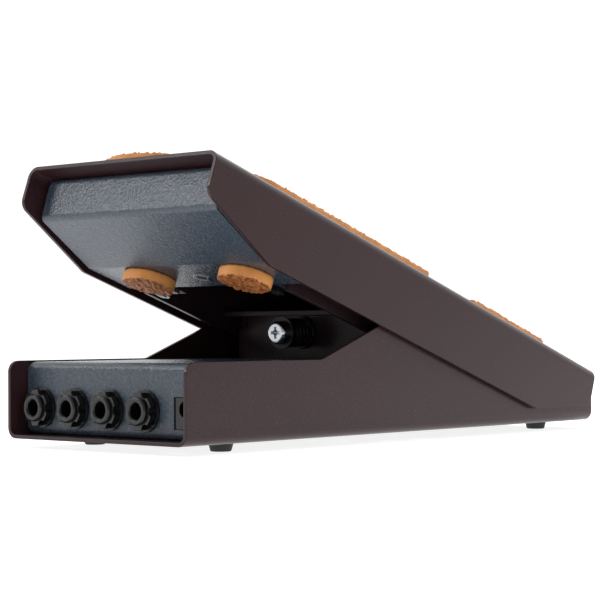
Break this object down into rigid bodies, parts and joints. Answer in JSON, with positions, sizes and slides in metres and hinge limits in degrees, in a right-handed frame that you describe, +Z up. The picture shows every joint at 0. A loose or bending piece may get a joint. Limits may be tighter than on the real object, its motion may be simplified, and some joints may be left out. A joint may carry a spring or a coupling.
{
  "type": "volume pedal",
  "caption": "Foot volume pedal: folded steel housing, rocking treadle with rubber pads, toe-end jacks and a friction adjusting screw.",
  "frame": {"origin": "on the floor that the feet stand on, below the middle of the bounding box at rest", "axes": "+Z up, toe end with the jacks towards -Y, heel towards +Y, X across"},
  "size_m": [0.1078, 0.265, 0.1163],
  "materials": {
    "brown_coat": "fine-textured dark brown powder coat on steel",
    "grey_coat": "fine-textured blue-grey hammered paint on steel",
    "crepe_rubber": "rough natural crepe rubber, tan",
    "black_rubber": "matt black rubber",
    "black_plastic": "moulded black nylon, satin",
    "can_sleeve": "dark blue shrink sleeve",
    "board_laminate": "green solder mask on glass laminate",
    "tinned_metal": "tin-plated contact metal",
    "zinc_steel": "bright zinc plating",
    "black_steel": "black oxide on spring steel",
    "bright_steel": "ground steel rod",
    "bronze": "sintered bronze",
    "acetal": "natural acetal",
    "magnet": "nickel-plated magnet"
  },
  "bodies": {
    "base": {"housing_shell": "brown_coat", "connector_cover": "grey_coat", "heel_plate": "grey_coat", "axle_carrier": "brown_coat", "axle_bushes": "bronze", "brake_shoe": "acetal", "thread_insert": "zinc_steel", "spring_seat": "black_steel", "friction_spring": "black_steel", "jack_1": "black_plastic", "jack_2": "black_plastic", "jack_3": "black_plastic", "jack_4": "black_plastic", "jack_nuts": "black_plastic", "jack_washers": "black_plastic", "jack_pins": "tinned_metal", "dc_socket": "black_plastic", "dc_pin": "tinned_metal", "circuit_board": "board_laminate", "board_standoffs": "zinc_steel", "board_screws": "zinc_steel", "hall_sensor": "black_plastic", "signal_chips": "black_plastic", "capacitors": "can_sleeve", "feet": "black_rubber", "cover_screws": "zinc_steel", "cover_nuts": "zinc_steel", "carrier_screws": "zinc_steel", "carrier_nuts": "zinc_steel", "heel_plate_screws": "zinc_steel", "heel_plate_nuts": "zinc_steel", "spring_washer": "black_steel"},
    "treadle": {"treadle_shell": "brown_coat", "toe_pan": "grey_coat", "heel_pan": "grey_coat", "sole_pad": "crepe_rubber", "heel_pad": "crepe_rubber", "toe_stops": "crepe_rubber", "heel_stops": "crepe_rubber", "hinge_rail_left": "brown_coat", "hinge_rail_right": "brown_coat", "rail_screws": "zinc_steel", "rail_nuts": "zinc_steel", "pan_rivets": "zinc_steel", "pan_screws": "zinc_steel", "pan_nuts": "zinc_steel", "axle": "bright_steel", "axle_clips": "black_steel", "magnet_cup": "zinc_steel", "position_magnet": "magnet"},
    "adjuster_screw": {"friction_screw": "zinc_steel"}
  },
  "joints": [
    {"name": "treadle_tilt", "type": "hinge", "parent": "base", "child": "treadle", "pos_m": [0, -0.0007, 0.0472], "axis": [1, 0, 0], "range_deg": [0, 20.4]},
    {"name": "adjuster_turn", "type": "hinge", "parent": "base", "child": "adjuster_screw", "pos_m": [0, -0.026, 0.0451], "axis": [0, 1, 0], "range_deg": [-180, 180]}
  ]
}
